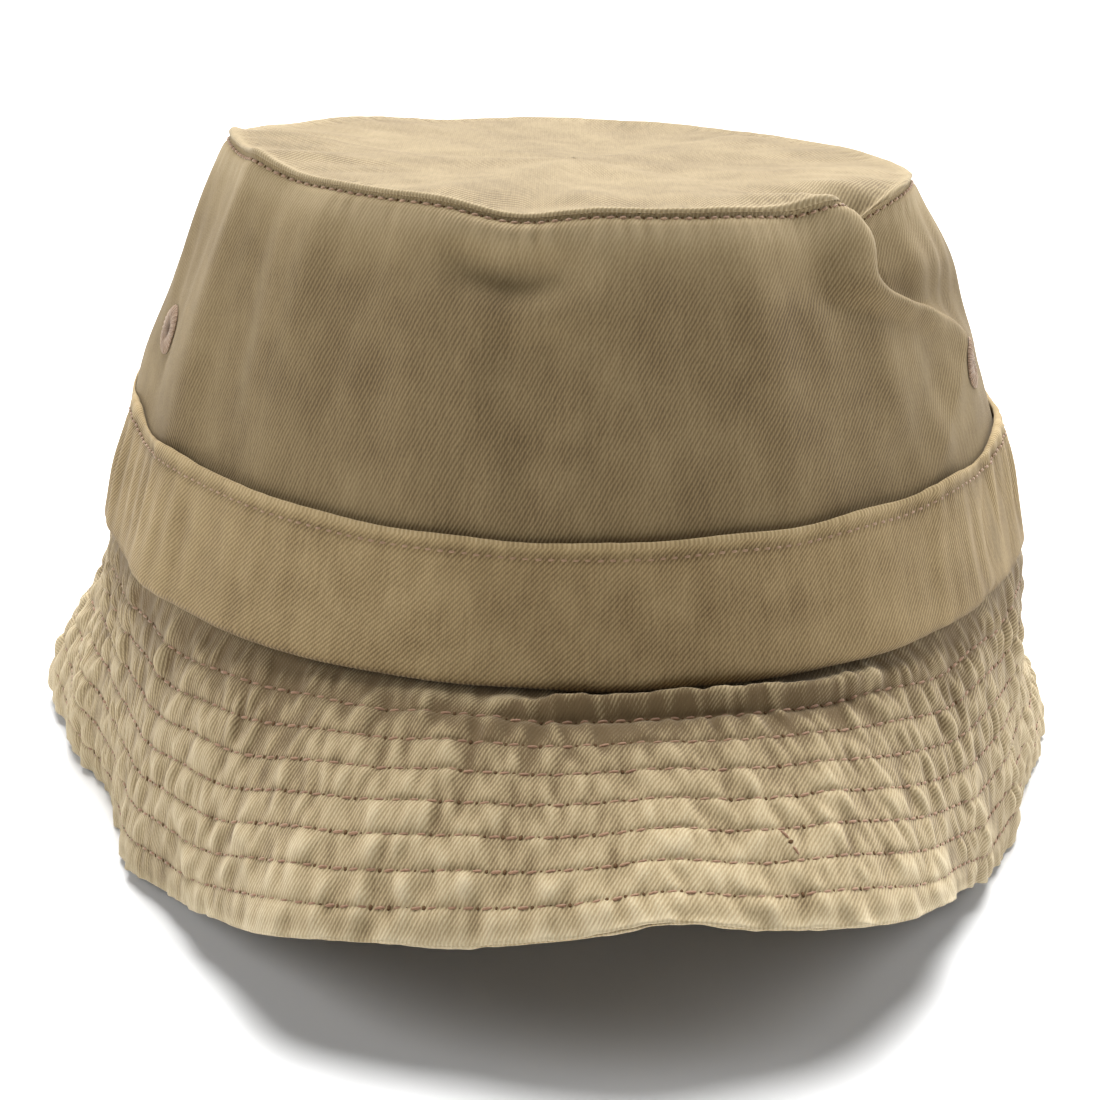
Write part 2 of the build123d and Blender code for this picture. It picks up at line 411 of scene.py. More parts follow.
def finish_mesh(name, mesh):
    mesh.polygons.foreach_set("use_smooth", [True] * len(mesh.polygons))
    mesh.update()
    return new_object(name, mesh)


def new_object(name, data):
    obj = bpy.data.objects.new(name, data)
    bpy.context.scene.collection.objects.link(obj)
    return obj


def grid(start, end, rounds, low, high, across):
    """Azimuths as a column and distances as a row."""
    return (np.linspace(start, end, rounds)[:, None], np.linspace(low, high, across)[None, :])


def ring(start, rounds, low, high, across):
    """The same once round the hat, with no azimuth twice."""
    return grid(start, start + 360 * (rounds - 1) / rounds, rounds, low, high, across)


def lengths(line):
    return join([[0], np.cumsum(np.linalg.norm(np.diff(line, axis=0), axis=-1))])


def cloth_uv(points, flip=1, fan=True):
    """Cloth coordinates in metres, as in the flat cut: a fan, its grain upright in the middle, or a strip."""
    rounds, across = points.shape[:2]
    first, last, middle = (lengths(points[:, k]) for k in (0, -1, across // 2))
    run = lengths(points[rounds // 2])
    turn = (last[-1] - first[-1]) / run[-1]
    if not fan or abs(turn) < 0.05:
        return np.stack(np.meshgrid(middle - middle[-1] / 2, flip * run, indexing="ij"), -1)
    inner = first[-1] / turn
    angle = (turn * (middle / middle[-1] - 0.5))[:, None]
    reach = inner + run[None, :]
    return np.stack([reach * np.sin(angle), flip * (reach * np.cos(angle) - inner)], -1)


# ---- crown

def crown_wall(name, start, end):
    azimuth, share = grid(start, end, 400, 0, 1, 110)
    low, high = 1.0 * MM, seam_height(azimuth) - 0.5 * MM
    height = low + share * (high - low)
    below = (seam_height(azimuth) - height) / MM
    stitch = below - STITCH_DROP / MM
    pucker = seam_pucker(azimuth, 0)
    tuck = -(0.6 * bell(below - 1.0, 1.1) + 0.15 * bell(stitch, 0.5)) * MM
    outer = wall_point(azimuth, height, tuck + 0.06 * MM * pucker * bell(below - 4.4, 2.4))
    inner = wall_point(azimuth, height, tuck - CLOTH)
    # Paler just below the seam roll: worn and painted light together. Darker along the topstitch groove:
    # painted shade. The top 18 mm is painted paler towards the seam: a painted highlight for the rounded edge
    # under the overhead light. Paler side-seam lines: worn.
    wear_and_shading = 0.6 * bell(below - 4.4, 2.0) - 0.25 * bell(stitch, 0.8) + 1.2 * ease(below, 18, 3)
    wear_and_shading = wear_and_shading + 0.15 * pucker * bell(below - 4.2, 2.2) + 0.5 * bell(abs(signed(azimuth)) - 90, 0.9)
    return shell(name, outer, inner, cloth_uv(outer), wear_and_shading)


# Rim of the top panel as it rolls over into the seam: mm beyond the seam, mm above it
ROLL = ((-6.0, 0.0), (-4.0, 0.03), (-2.6, 0.08), (-1.9, 0.18), (-1.4, 0.34), (-0.95, 0.48), (-0.55, 0.5),
        (-0.2, 0.38), (0.02, 0.15), (0.1, -0.1), (0.06, -0.35), (-0.15, -0.55), (-0.6, -0.65))
TOP_ROUNDS, TOP_DISCS = 540, 84


def crown_top():
    """Top panel: a disc whose rim rolls over into the seam."""
    azimuth, flat = ring(0, TOP_ROUNDS, 0.004, 1, TOP_DISCS)
    over, rise = np.array(ROLL).T[:, None, :] * MM
    half = join([flat * (SEAM_HALF - 6.6 * MM), SEAM_HALF + over], 1)
    rise = join([0 * flat, rise], 1)
    x, y = ring_dir(azimuth)
    oval = half + OVAL * np.minimum(half / SEAM_HALF, 1)
    seam = seam_height(azimuth)
    height = PLANE[0] + PLANE[1] * half * x + PLANE[2] * oval * y + rise
    height = height + seam_lift(azimuth) * ease(half, 0.3 * SEAM_HALF, SEAM_HALF)
    path = np.where(rise < 0, seam + rise, seam + SEAM_HALF - half)
    inwards = (SEAM_HALF - half) / MM
    pucker = seam_pucker(azimuth, 0)
    sag = 0.35 * top_noise(azimuth, half) * ease(inwards, 0, 12) * ease(half, 0, 25 * MM)
    sag = sag - 1.6 * bell(inwards - 40, 30) + 0.06 * pucker * bell(inwards - 3.5, 2.0)
    # crease that runs from the right-hand dent into the top
    sag = sag - 3.0 * bell(signed(azimuth) - 57 + 0.4 * inwards, 7) * bell(inwards - 8, 13)
    swell = crown_depth(azimuth, path) * ease(inwards, 34, 0) + sag * MM
    angle = lean(path, seam)
    outer = place(azimuth, half + swell * np.cos(angle) * ease(inwards, 26, 4), height + swell * np.sin(angle))
    outer[..., 1] += (oval - half - OVAL) * y
    down = np.stack(np.broadcast_arrays(0.5 * x * np.cos(angle), 0.5 * y * np.cos(angle), np.sin(angle)), -1)
    # Paler on the rolled rim at the seam: worn edge and painted light together.
    wear_and_shading = 0.9 * bell(inwards - 0.8, 1.5) + 0.2 * pucker * bell(inwards - 3, 2)
    return disc_shell("crown_top_panel", outer, outer - down * CLOTH, wear_and_shading)


def disc_shell(name, outer, under, wear_and_shading):
    """Closed disc from two polar grids. Its cloth coordinates are the plan view."""
    rounds, discs = outer.shape[:2]
    loop = join([outer[:, ::-1], under], 1)
    size = loop.shape[1]
    i, j = np.indices((rounds, size - 1))
    here, following = i * size, ((i + 1) % rounds) * size
    quads = np.stack([here + j, here + j + 1, following + j + 1, following + j], -1).reshape(-1, 4)
    here, following = here[:, 0], following[:, 0]
    rim = np.stack([here, following, following + size - 1, here + size - 1], -1)
    faces = quads[(j != discs - 1).ravel()].tolist() + rim.tolist()
    faces.append((here + discs - 1).tolist())
    faces.append((here + discs)[::-1].tolist())
    corners = loop.reshape(-1, 3)[[v for face in faces for v in face]]
    return cloth_mesh(name, loop, faces, corners[:, :2], join([wear_and_shading[:, ::-1], 0 * wear_and_shading], 1))


# ---- band

def off_front(azimuth):
    """The band's puckers are full at the sides and a quarter as deep at the front."""
    return 0.25 + 0.75 * ease(abs(signed(azimuth)), 40, 62)


def band_swell(azimuth, height):
    """How far the soft band stands off its even face."""
    a, up, below = signed(azimuth), height / MM, (BAND_TOP - height) / MM
    stitch = below - BAND_STITCH_DROP / MM
    flank = ease(abs(a), 45, 78) * ease(abs(a), 125, 100)
    out = 0.30 * band_noise(azimuth, height) * off_front(azimuth) * bell(below - 12, 10)
    out = out + 0.35 * band_broad(azimuth, height)
    out = out + 0.9 * bell(up - 1.5, 4.5) * (1 - flank) - 1.5 * flank * (a > 0) * ease(up, 24, 10)
    out = out - 1.1 * (bell(a - 92, 20) + bell(a + 92, 20)) * ease(up, 10, 24)
    out = out - 0.28 * bell(stitch, 0.8) + 0.05 * seam_pucker(azimuth + 3, 0) * bell(stitch, 3.5)
    return out * MM


def band_edge_wave(azimuth):
    """Rise and fall of the band's fold."""
    a = signed(azimuth)
    dips = 1.2 * bell(a - 8, 45) + 1.0 * bell(a - 92, 16) + 0.6 * bell(a + 92, 16)
    return (0.35 * band_broad(azimuth, 0.03) - dips) * MM


def band_point(azimuth, height, off):
    height = height + band_edge_wave(azimuth) * ease(height, 0.4 * BAND_TOP, BAND_TOP)
    lift = 0.55 * crown_depth(azimuth, height) * ease(height, 12 * MM, BAND_TOP)
    even = wall_half(azimuth, height) + 0.25 * MM + BAND_THICK
    return place(azimuth, even + lift + band_swell(azimuth, height) + off, height + 0.2 * off)


def radius(points, azimuth):
    """Distance of points from the hat's upright axis, along their azimuth."""
    x, y = ring_dir(azimuth)
    return (points[..., 0] - CENTRE.x) * x + (points[..., 1] - CENTRE.y) * y


def clear_of_wall(points, azimuth, gap):
    """The same points, moved outwards where they are nearer to the crown wall than gap."""
    x, y = ring_dir(azimuth)
    wall = radius(wall_point(azimuth, points[..., 2] - JOINT_Z, 0.0), azimuth)
    reach = np.maximum(wall + gap - radius(points, azimuth), 0)
    return points + np.stack([reach * x, reach * y, 0 * reach], -1)


def hat_band():
    azimuth, height = ring(-180, 1440, 0.75 * MM, BAND_TOP - 0.5 * MM, 64)
    up, below = height / MM, (BAND_TOP - height) / MM
    tuck = -0.9 * MM * bell(up, 1.2)
    gape = 0.9 * MM * ease(below, 7, 0) * ease(abs(signed(azimuth)), 75, 50)
    outer = band_point(azimuth, height, tuck + 0.3 * gape)
    inner = band_point(azimuth, height, tuck - BAND_THICK - 0.7 * band_swell(azimuth, height) + gape)
    outer = clear_of_wall(outer, azimuth, 0.75 * MM)
    inner = clear_of_wall(inner, azimuth, 0.15 * MM)
    # Paler along the fold: worn edge. Darker along the topstitch groove and along the foot where the band
    # meets the brim: painted shade. Paler and darker with the same noise that raises the band's puckers.
    wear_and_shading = 0.9 * bell(below, 1.1) - 0.5 * bell(below - BAND_STITCH_DROP / MM, 0.8) - 0.9 * bell(up, 1.2)
    wear_and_shading = wear_and_shading + 0.18 * band_noise(azimuth, height) * off_front(azimuth)
    return shell("hat_band_strip", outer, inner, cloth_uv(outer, fan=False), wear_and_shading, wrap=True)


# ---- brim

# Waves of both plies: mm, azimuth, its width, power of their growth towards the edge
BRIM_WAVES = ((1.8, 8, 5, 4), (-0.8, -6, 9, 3), (2.2, 20, 8, 3), (1.8, 60, 9, 2), (3.0, -50, 9, 2.5),
              (-1.9, 90, 16, 3), (-2.6, -68, 9, 1.5))
EDGE_CURLS = ((4.8, 35, 10, 2.5), (1.6, 7, 4.5, 4))
# Flanks that hang straighter from the band: mm, azimuth, its width, place across the brim, its spread
BRIM_FLANKS = ((-7.0, 94, 26, 0.55, 0.36), (-4.0, -84, 20, 0.4, 0.30))


def waves(table, azimuth, run):
    a, share = signed(azimuth), run / BRIM_WIDTH
    return sum(size * bell(a - spot, width) * share**power for size, spot, width, power in table) * MM


def brim_wave(azimuth, run):
    """Wave of the whole brim, both plies together, growing towards the edge."""
    a, share = signed(azimuth), run / BRIM_WIDTH
    wave = 1.3 * brim_broad(azimuth, run) * share**1.4
    for size, spot, width, middle, spread in BRIM_FLANKS:
        wave = wave + size * bell(a - spot, width) * bell(share - middle, spread) * ease(share, 0, 0.15)
    return wave * MM + waves(BRIM_WAVES, azimuth, run)


def brim_point(azimuth, run, off):
    """A point at a distance along the brim and off its face, on the waved cloth's even layer."""
    step = 0.5 * MM
    base = brim_base(azimuth, run)
    ahead = brim_base(azimuth, np.minimum(run + step, BRIM_WIDTH))
    along = ahead - brim_base(azimuth, np.maximum(run - step, 0))
    along /= np.maximum(np.linalg.norm(along, axis=-1, keepdims=True), 1e-12)
    over = brim_wave(azimuth, run) + off
    rise = waves(EDGE_CURLS, azimuth, run)
    return place(azimuth, base[..., 0] - along[..., 1] * over, base[..., 1] + along[..., 0] * over + rise)


def row_wander(azimuth, run):
    """Stitch rows wander a little from even circles."""
    return 0.35 * MM * row_jitter(azimuth, run)


def quilting(run):
    """How far the cloth puffs up, 0 on a stitch row and 1 between rows, and how near the next row is."""
    phase = (run - FIRST_ROW) / ROW_PITCH
    nearest = np.abs(phase - np.clip(np.round(phase), 0, ROW_COUNT - 1)) * ROW_PITCH
    before = np.sqrt(np.clip((FIRST_ROW - run) / FIRST_ROW, 0, 1))
    after = np.clip((run - ROWS[-1]) / (BRIM_WIDTH - ROWS[-1]), 0, 1)
    puff = np.where(run > ROWS[-1], np.sqrt(after) * 0.8, np.abs(np.sin(math.pi * phase)))
    return np.where(run < FIRST_ROW, before, puff), nearest


def washed(azimuth, run, side):
    """Folds, puckers and fine puckers of a ply. The lower ply has the same ones, turned round the hat."""
    under = side < 0
    return (brim_fold(azimuth + 40 * under, run), brim_pucker(azimuth + 90 * under, run),
            brim_fine(azimuth + 60 * under, run))


def brim_swell(azimuth, run, side):
    """Height of the washed, puckered ply above its even face. side is +1 on top and -1 underneath."""
    puff, nearest = quilting(run)
    fold, pucker, fine = washed(azimuth, run, side)
    soft = puff**0.6
    out = 0.30 * soft + 0.42 * fold * (0.40 + 0.60 * soft)
    out = out + 0.34 * pucker * (0.25 + 0.75 * soft) + 0.20 * fine * (0.3 + 0.7 * soft)
    out = np.where(out < 0, -0.4 * np.tanh(-out / 0.4), out) * ease(run, 0, 7 * MM)
    if side > 0:
        # deep fold along the first row at the front right, under a swollen lip
        a = signed(azimuth)
        window = ease(a, -12, 2) * ease(a, 44, 24)
        out = out + window * (3.0 * bell(run - 5.6 * MM, 1.9 * MM) - 0.9 * bell(run - FIRST_ROW, 1.2 * MM))
    return (out - 0.15 * bell(nearest, 0.7 * MM)) * MM


# Colour of a brim ply: real wear, painted light and painted shade.
def brim_wear_and_shading(azimuth, run, turned, side):
    puff, nearest = quilting(turned)
    fold, pucker, fine = washed(azimuth, turned, side)
    # Darker between the puffs and in the stitch rows' grooves: painted shade.
    wear_and_shading = 0.25 * (puff - 0.6) - 0.55 * bell(nearest, 0.5 * MM)
    wear_and_shading = wear_and_shading + 0.30 * pucker * puff + 0.22 * fold + 0.35 * fine
    # Paler right at the edge: worn. Darker towards the band and paler towards the edge, darkest within 16 mm
    # of the joint: painted shade of the crown over the brim.
    wear_and_shading = wear_and_shading + 0.8 * bell(run - BRIM_WIDTH, 1.2 * MM) + 1.6 * (run / BRIM_WIDTH - 0.5)
    wear_and_shading = wear_and_shading - 0.5 * ease(run, 16 * MM, 6 * MM)
    if side > 0:
        # painted light on the lip and painted shade in the folds along the first row at the front, where the
        # crown's shade falls
        a = signed(azimuth)
        ragged = run / MM + 1.6 * brim_pucker(azimuth, 0)
        window = ease(a, -24, -4) * ease(a, 40, 20)
        shade = 1.2 * bell(ragged - 8.9, 1.8) + 0.7 * ease(a, 20, 6) * bell(ragged - 12, 3.2)
        wear_and_shading = wear_and_shading + window * (0.9 * bell(run / MM - 4.6, 2.0) - shade)
    return wear_and_shading


def brim_ply(name, start, end, side):
    """Upper ply (side 1) or lower ply (side -1), drawn together where both turn in at the edge."""
    azimuth, run = grid(start, end, 560, 0.2 * MM, BRIM_WIDTH - 0.2 * MM, 168)
    turned = run + row_wander(azimuth, run)
    swell = brim_swell(azimuth, turned, side)
    base = 0.0 if side > 0 else UNDER_FACE
    close = 0.55 * MM * ease(run, BRIM_WIDTH - 3.5 * MM, BRIM_WIDTH)
    face = brim_point(azimuth, run, base + side * (swell - close))
    back = brim_point(azimuth, run, base + side * (0.6 * np.maximum(swell, -0.4 * MM) - CLOTH - close))
    return shell(name, face, back, cloth_uv(face, side), brim_wear_and_shading(azimuth, run, turned, side))


def stiffener(name, start, end):
    azimuth, run = grid(start, end, 260, 1.0 * MM, BRIM_WIDTH - 4.0 * MM, 60)
    upper = brim_point(azimuth, run, -1.24 * MM)
    lower = brim_point(azimuth, run, -1.50 * MM)
    return shell(name, upper, lower, cloth_uv(upper))


# ---- thread

SIDES = 6                    # corners of a thread's section, and of a needle hole
ARCH = np.array([-1.1, 0.15, 0.45, 0.15, -1.1])   # how a stitch rises out of the cloth, in thread radii
TAPER = np.array([0.45, 0.95, 1.0, 0.95, 0.45])   # and how thick it is there
ALONG = np.linspace(-0.5, 0.5, len(ARCH))
CORNERS = np.linspace(0, 2 * math.pi, SIDES, endpoint=False)[:, None]


def spot_on(line, run, at):
    """Points of a line at distances along it."""
    return np.stack([np.interp(at, run, line[:, i]) for i in range(3)], -1)


def unit(vector):
    return vector / max(np.linalg.norm(vector), 1e-9)


def stitches(path, normal, run, pitch, length, thick, sink, slant):
    """One block of points per stitch along a path, and where the stitches lie on it."""
    count = int(run[-1] / pitch)
    starts = (np.arange(count) + 0.5) * run[-1] / count
    starts = starts + rng.uniform(-0.06, 0.06, count) * pitch
    blocks = []
    for middle in starts:
        spine = spot_on(path, run, middle + ALONG * length * rng.uniform(0.9, 1.06))
        up = unit(spot_on(normal, run, middle))
        ahead = unit(spine[-1] - spine[0])
        beside = np.cross(up, ahead)
        spine = spine + up * (ARCH[:, None] * thick - sink) + beside * ALONG[:, None] * slant
        size = TAPER * thick * rng.uniform(0.9, 1.1)
        section = np.cos(CORNERS) * beside + np.sin(CORNERS) * up
        blocks.append((spine[:, None, :] + size[:, None, None] * section[None]).reshape(-1, 3))
    return blocks, starts


def stitch_faces():
    """Faces of one stitch: its sides and two ends."""
    faces = []
    for k in range(len(ARCH) - 1):
        for m in range(SIDES):
            n = (m + 1) % SIDES
            faces.append([k * SIDES + m, k * SIDES + n, (k + 1) * SIDES + n, (k + 1) * SIDES + m])
    last = (len(ARCH) - 1) * SIDES
    return faces + [list(range(SIDES))[::-1], [last + m for m in range(SIDES)]]


def holes(path, normal, run, places, size, proud):
    """Needle holes: small flattened balls, proud of the path by a little, that get the dark hole_shade
    material, painted shade for the inside of each hole.
    """
    blocks = []
    for at in places:
        spot = spot_on(path, run, at)
        up = unit(spot_on(normal, run, at))
        ahead = unit(spot_on(path, run, at + 0.2 * MM) - spot)
        beside = np.cross(up, ahead)
        reach = size * rng.uniform(0.7, 1.2)
        rim = np.cos(CORNERS) * beside * 1.15 + np.sin(CORNERS) * ahead * 0.8
        centre = spot + up * proud
        blocks.append(join([[centre + up * reach * 0.3], centre + rim * reach,
                                      [centre - up * reach * 0.6]]))
    return blocks


def hole_faces():
    faces = []
    for m in range(SIDES):
        n = (m + 1) % SIDES
        faces += [[0, 1 + m, 1 + n], [SIDES + 1, 1 + n, 1 + m]]
    return faces


def sewn(name, lines, *sizes):
    """One object with the stitches and the painted-shade needle holes of several lines, each (points,
    normals).

    The sizes, in mm, are pitch, stitch length, thread radius, sink, slant and needle hole."""
    pitch, length, thick, sink, slant, hole = np.array(sizes) * MM
    points, faces, marks = [], [], []
    total = 0
    for path, normal in lines:
        run = lengths(path)
        thread, starts = stitches(path, normal, run, pitch, length, thick, sink, slant)
        pricked = holes(path, normal, run, (starts[1:] + starts[:-1]) / 2, hole, 0.04 * MM)
        # mark 1 gives the holes the second material, hole_shade: painted shade
        for blocks, cells, mark in ((thread, stitch_faces(), 0), (pricked, hole_faces(), 1)):
            for block in blocks:
                points.append(block)
                faces += [[v + total for v in cell] for cell in cells]
                marks += [mark] * len(cells)
                total += len(block)
    mesh = bpy.data.meshes.new(name)
    mesh.from_pydata(join(points).tolist(), [], faces)
    mesh.polygons.foreach_set("material_index", marks)
    return finish_mesh(name, mesh)


def traced(point):
    """Points of a line and the directions out of its surface, from the function of offset that gives them."""
    here = point(0.0)
    return here, point(0.5 * MM) - here


def row_line(azimuths, run, side):
    """Stitch line on the brim's upper (side 1) or lower (side -1) ply."""
    base = 0.0 if side > 0 else UNDER_FACE
    swell = brim_swell(azimuths, run, side)
    where = run - row_wander(azimuths, run)
    return traced(lambda off: brim_point(azimuths, where, base + side * (swell + off)))


HOP = 16.5                   # azimuth where the thread crosses from the fifth row to the sixth


def thread_hop():
    share = np.linspace(0.02, 0.98, 12)
    turn, run = HOP + share, ROWS[4] + share * (ROWS[5] - ROWS[4])
    swell = brim_swell(turn, run, 1)
    return traced(lambda off: brim_point(turn, run, swell + off))


def brim_thread(name, start, end):
    azimuths = np.linspace(start + 0.4, end - 0.4, 1600)
    lines = [row_line(azimuths, run, side) for side in (1, -1) for run in ROWS]
    if start < HOP < end:
        lines.append(thread_hop())
    return sewn(name, lines, 3.05, 2.55, 0.29, 0.08, 0.3, 0.42)


# ---- eyelets

EYELETS = {"eyelet_left_front": -75, "eyelet_left_back": -105,
           "eyelet_right_front": 70, "eyelet_right_back": 110}
# Section of a satin-stitched ring, like a spool through the cloth: mm from the hole's middle, mm off the cloth
EYELET_PROFILE = ((1.4, -1.3), (1.35, -0.4), (1.4, 0.15), (1.7, 0.45), (2.3, 0.66), (3.0, 0.74), (3.8, 0.68),
                  (4.5, 0.46), (4.9, 0.2), (4.95, -0.05), (4.3, 0.02), (3.2, 0.0), (2.45, -0.1), (2.35, -0.9),
                  (3.0, -1.15), (3.9, -1.2), (3.95, -1.45), (3.0, -1.65), (2.2, -1.7), (1.6, -1.6))
EYELET_TURNS, EYELET_RIDGES = 180, 30
EYELET_BORE = 2.9 * MM


def eyelet_height(node):
    low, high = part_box(node)
    return (low.z + high.z) / 2 - JOINT_Z


def eyelet_ring(node, azimuth):
    phi = np.linspace(0, 2 * math.pi, EYELET_TURNS, endpoint=False)[:, None]
    rho, off = np.array(EYELET_PROFILE).T[:, None, :]
    wobble = 0.10 * np.sin(3 * phi + azimuth) + 0.06 * np.sin(7 * phi + 2 * azimuth)
    ridge = 0.5 + 0.5 * np.cos(EYELET_RIDGES * (phi + 0.03 * np.sin(5 * phi)))
    face = off > 0.1
    edge = ease(rho, 1.2, 2.4) * face
    rho = rho * (1 + 0.05 * wobble * (rho > 2))
    rho = rho + 0.10 * ridge * (rho > 4.2) * face
    off = off + (0.16 * ridge - 0.10) * edge
    height = eyelet_height(node)
    turn = azimuth + np.degrees(rho * MM * np.cos(phi) / wall_half(azimuth, height))
    spot_height = height + rho * MM * np.sin(phi) * math.cos(math.radians(20))
    points = wall_point(turn, spot_height, (off + 0.15) * MM)
    size = len(EYELET_PROFILE)
    i, j = np.indices((EYELET_TURNS, size))
    here, following = i * size, ((i + 1) % EYELET_TURNS) * size
    faces = np.stack([here + j, here + (j + 1) % size, following + (j + 1) % size, following + j], -1)
    faces = faces.reshape(-1, 4)
    across = lengths(np.array(EYELET_PROFILE))[None, :] * MM
    uv = np.stack(np.broadcast_arrays(phi * 3 * MM, across), -1).reshape(-1, 2)
    return cloth_mesh(node + "_ring", points, faces.tolist(), uv[faces.ravel()], None)


def bore(obj, node, azimuth):
    """Open the cloth behind an eyelet."""
    centre = Vector(wall_point(float(azimuth), eyelet_height(node), 0.0).tolist())
    mesh = bmesh.new()
    mesh.from_mesh(obj.data)
    gone = [face for face in mesh.faces if (face.calc_center_median() - centre).length < EYELET_BORE]
    bmesh.ops.delete(mesh, geom=gone, context="FACES")
    mesh.to_mesh(obj.data)
    mesh.free()


# ---- inside

SWEAT_STITCH = 2.0 * MM      # sweatband stitching above the joint
SWEAT_GAP = 1.0 * MM         # sweatband behind the wall's inner face


def lining_strip():
    """Sweatband: a strip standing inside the head opening, puckered where it is sewn in."""
    azimuth, height = ring(0, 900, 0.6 * MM, 29.6 * MM, 60)
    up = height / MM
    ripple = 0.22 * band_noise(azimuth + 77, height) * ease(up, 34, 4) - 0.22 * bell(up - 2, 0.7)
    ripple = (ripple + 0.45 * band_broad(azimuth + 50, height) * ease(up, 8, 26)) * MM
    top = height + 0.5 * MM * band_broad(azimuth + 20, 0.01) * ease(up, 14, 29)
    face = -CLOTH - SWEAT_GAP
    outer = wall_point(azimuth, top, face - np.maximum(ripple, -0.2 * MM))
    inner = wall_point(azimuth, top, face - 0.8 * MM - ripple)
    # Paler along the top edge: worn. Darker along the stitch line near the foot: painted shade in its groove.
    wear_and_shading = 0.6 * bell(up - 29.6, 1.2) - 0.6 * bell(up - 2, 0.8)
    return shell("sweatband_strip", inner, outer, cloth_uv(inner, fan=False), wear_and_shading, wrap=True)


def seam_binding():
    azimuth, share = ring(0, 720, 0, 1, 16)
    height = seam_height(azimuth) - 6.2 * MM + share * 5.0 * MM
    ripple = (0.25 * seam_pucker(azimuth, 0) * (1 - share) + 0.2 * fine_crown(azimuth, height)) * MM
    face = -CLOTH - 0.55 * MM
    outer = wall_point(azimuth, height, face - np.maximum(ripple, -0.15 * MM))
    inner = wall_point(azimuth, height, face - 0.6 * MM - ripple - 0.25 * MM * bell(share - 0.5, 0.3))
    wear_and_shading = 0.4 * bell(share - 0.5, 0.25)
    return shell("crown_seam_binding", inner, outer, cloth_uv(inner, fan=False), wear_and_shading, wrap=True)


def side_binding(name, azimuth):
    half = 3.6
    turn, share = grid(azimuth - half, azimuth + half, 26, 0, 1, 90)
    low, high = 30.6 * MM, seam_height(turn) - 7.2 * MM
    height = low + share * (high - low)
    middle = (turn - azimuth) / half
    ripple = 0.12 * np.abs(fine_crown(turn * 6, height * 3))
    face = -CLOTH - 0.7 * MM
    outer = wall_point(turn, height, face)
    inner = wall_point(turn, height, face - (0.5 + 0.25 * bell(middle, 0.35) + ripple) * MM)
    return shell(name, inner, outer, cloth_uv(inner), 0.3 * bell(middle, 0.4))


# ---- looks

class Look:
    """Small helper that builds one procedural material."""

    def __init__(self, name):
        self.material = bpy.data.materials.new(name)
        self.material.use_nodes = True
        self.tree = self.material.node_tree
        self.tree.nodes.clear()
        out = self.node("OutputMaterial")
        self.shader = self.node("BsdfPrincipled")
        self.put(out.inputs["Surface"], self.shader.outputs["BSDF"])

    def node(self, kind):
        return self.tree.nodes.new("ShaderNode" + kind)

    def put(self, socket, value):
        if isinstance(value, bpy.types.NodeSocket):
            self.tree.links.new(value, socket)
        else:
            socket.default_value = value

    def math(self, how, *values, clamp=False):
        node = self.node("Math")
        node.operation = how
        node.use_clamp = clamp
        for socket, value in zip(node.inputs, values):
            self.put(socket, value)
        return node.outputs[0]

    def times(self, a, b, clamp=False):
        return self.math("MULTIPLY", a, b, clamp=clamp)

    def plus(self, a, b, clamp=False):
        return self.math("ADD", a, b, clamp=clamp)

    def scaled(self, field, by, shift, clamp=False):
        return self.math("MULTIPLY_ADD", field, by, shift, clamp=clamp)

    def cloth(self):
        """Cloth coordinates in metres, as (u, v, the vector)."""
        uv = self.node("UVMap")
        uv.uv_map = "Cloth"
        parts = self.node("SeparateXYZ")
        self.put(parts.inputs[0], uv.outputs[0])
        return parts.outputs[0], parts.outputs[1], uv.outputs[0]

    def space(self):
        return self.node("TexCoord").outputs["Object"]

    def noise(self, vector, scale, detail=2.0, stretch=None):
        if stretch:
            scaled = self.node("Mapping")
            self.put(scaled.inputs["Vector"], vector)
            scaled.inputs["Scale"].default_value = stretch[0]
            scaled.inputs["Rotation"].default_value = (0, 0, stretch[1])
            vector = scaled.outputs[0]
        node = self.node("TexNoise")
        node.noise_dimensions = "3D"
        self.put(node.inputs["Vector"], vector)
        node.inputs["Scale"].default_value = scale
        node.inputs["Detail"].default_value = detail
        return node.outputs["Fac"]

    def stripes(self, along, period):
        """Sine of one coordinate, between -1 and 1."""
        return self.math("SINE", self.times(along, 2 * math.pi / period))

    # Per-point attribute that carries real wear together with painted light and painted shade
    def wear_and_shading(self):
        node = self.node("Attribute")
        node.attribute_name = "wear_and_shading"
        return node.outputs["Fac"]

    def mix(self, factor, a, b):
        node = self.node("Mix")
        node.data_type = "RGBA"
        node.clamp_factor = True
        for socket, value in ((node.inputs["Factor"], factor), (node.inputs[6], a), (node.inputs[7], b)):
            self.put(socket, value)
        return node.outputs[2]

    def bump(self, height, distance):
        node = self.node("Bump")
        node.inputs["Distance"].default_value = distance
        node.inputs["Strength"].default_value = 1.0
        self.put(node.inputs["Height"], height)
        self.put(self.shader.inputs["Normal"], node.outputs[0])

    def surface(self, color, rough, sheen, level=0.3):
        for name, value in (("Base Color", color), ("Roughness", rough), ("Specular IOR Level", level),
                            ("Sheen Weight", sheen), ("Sheen Roughness", 0.5),
                            ("Sheen Tint", (1.0, 0.93, 0.8, 1))):
            self.put(self.shader.inputs[name], value)
        return self.material


TONE = 0.56                  # depth of dye where no other is given
TWILL_PERIOD = 0.65 * MM
YARN_PERIOD = 0.41 * MM


def rgb(r, g, b, tone_and_light=TONE):
    """Linear colour from display values 0 to 255, scaled by tone_and_light: the depth of the dye, and for the
    pieces made by dyed also painted light and painted shade, with a higher factor for a piece in light and a
    lower one for a piece in shade.
    """
    return tuple(tone_and_light * ((v / 255 + 0.055) / 1.055)**2.4 for v in (r, g, b)) + (1.0,)


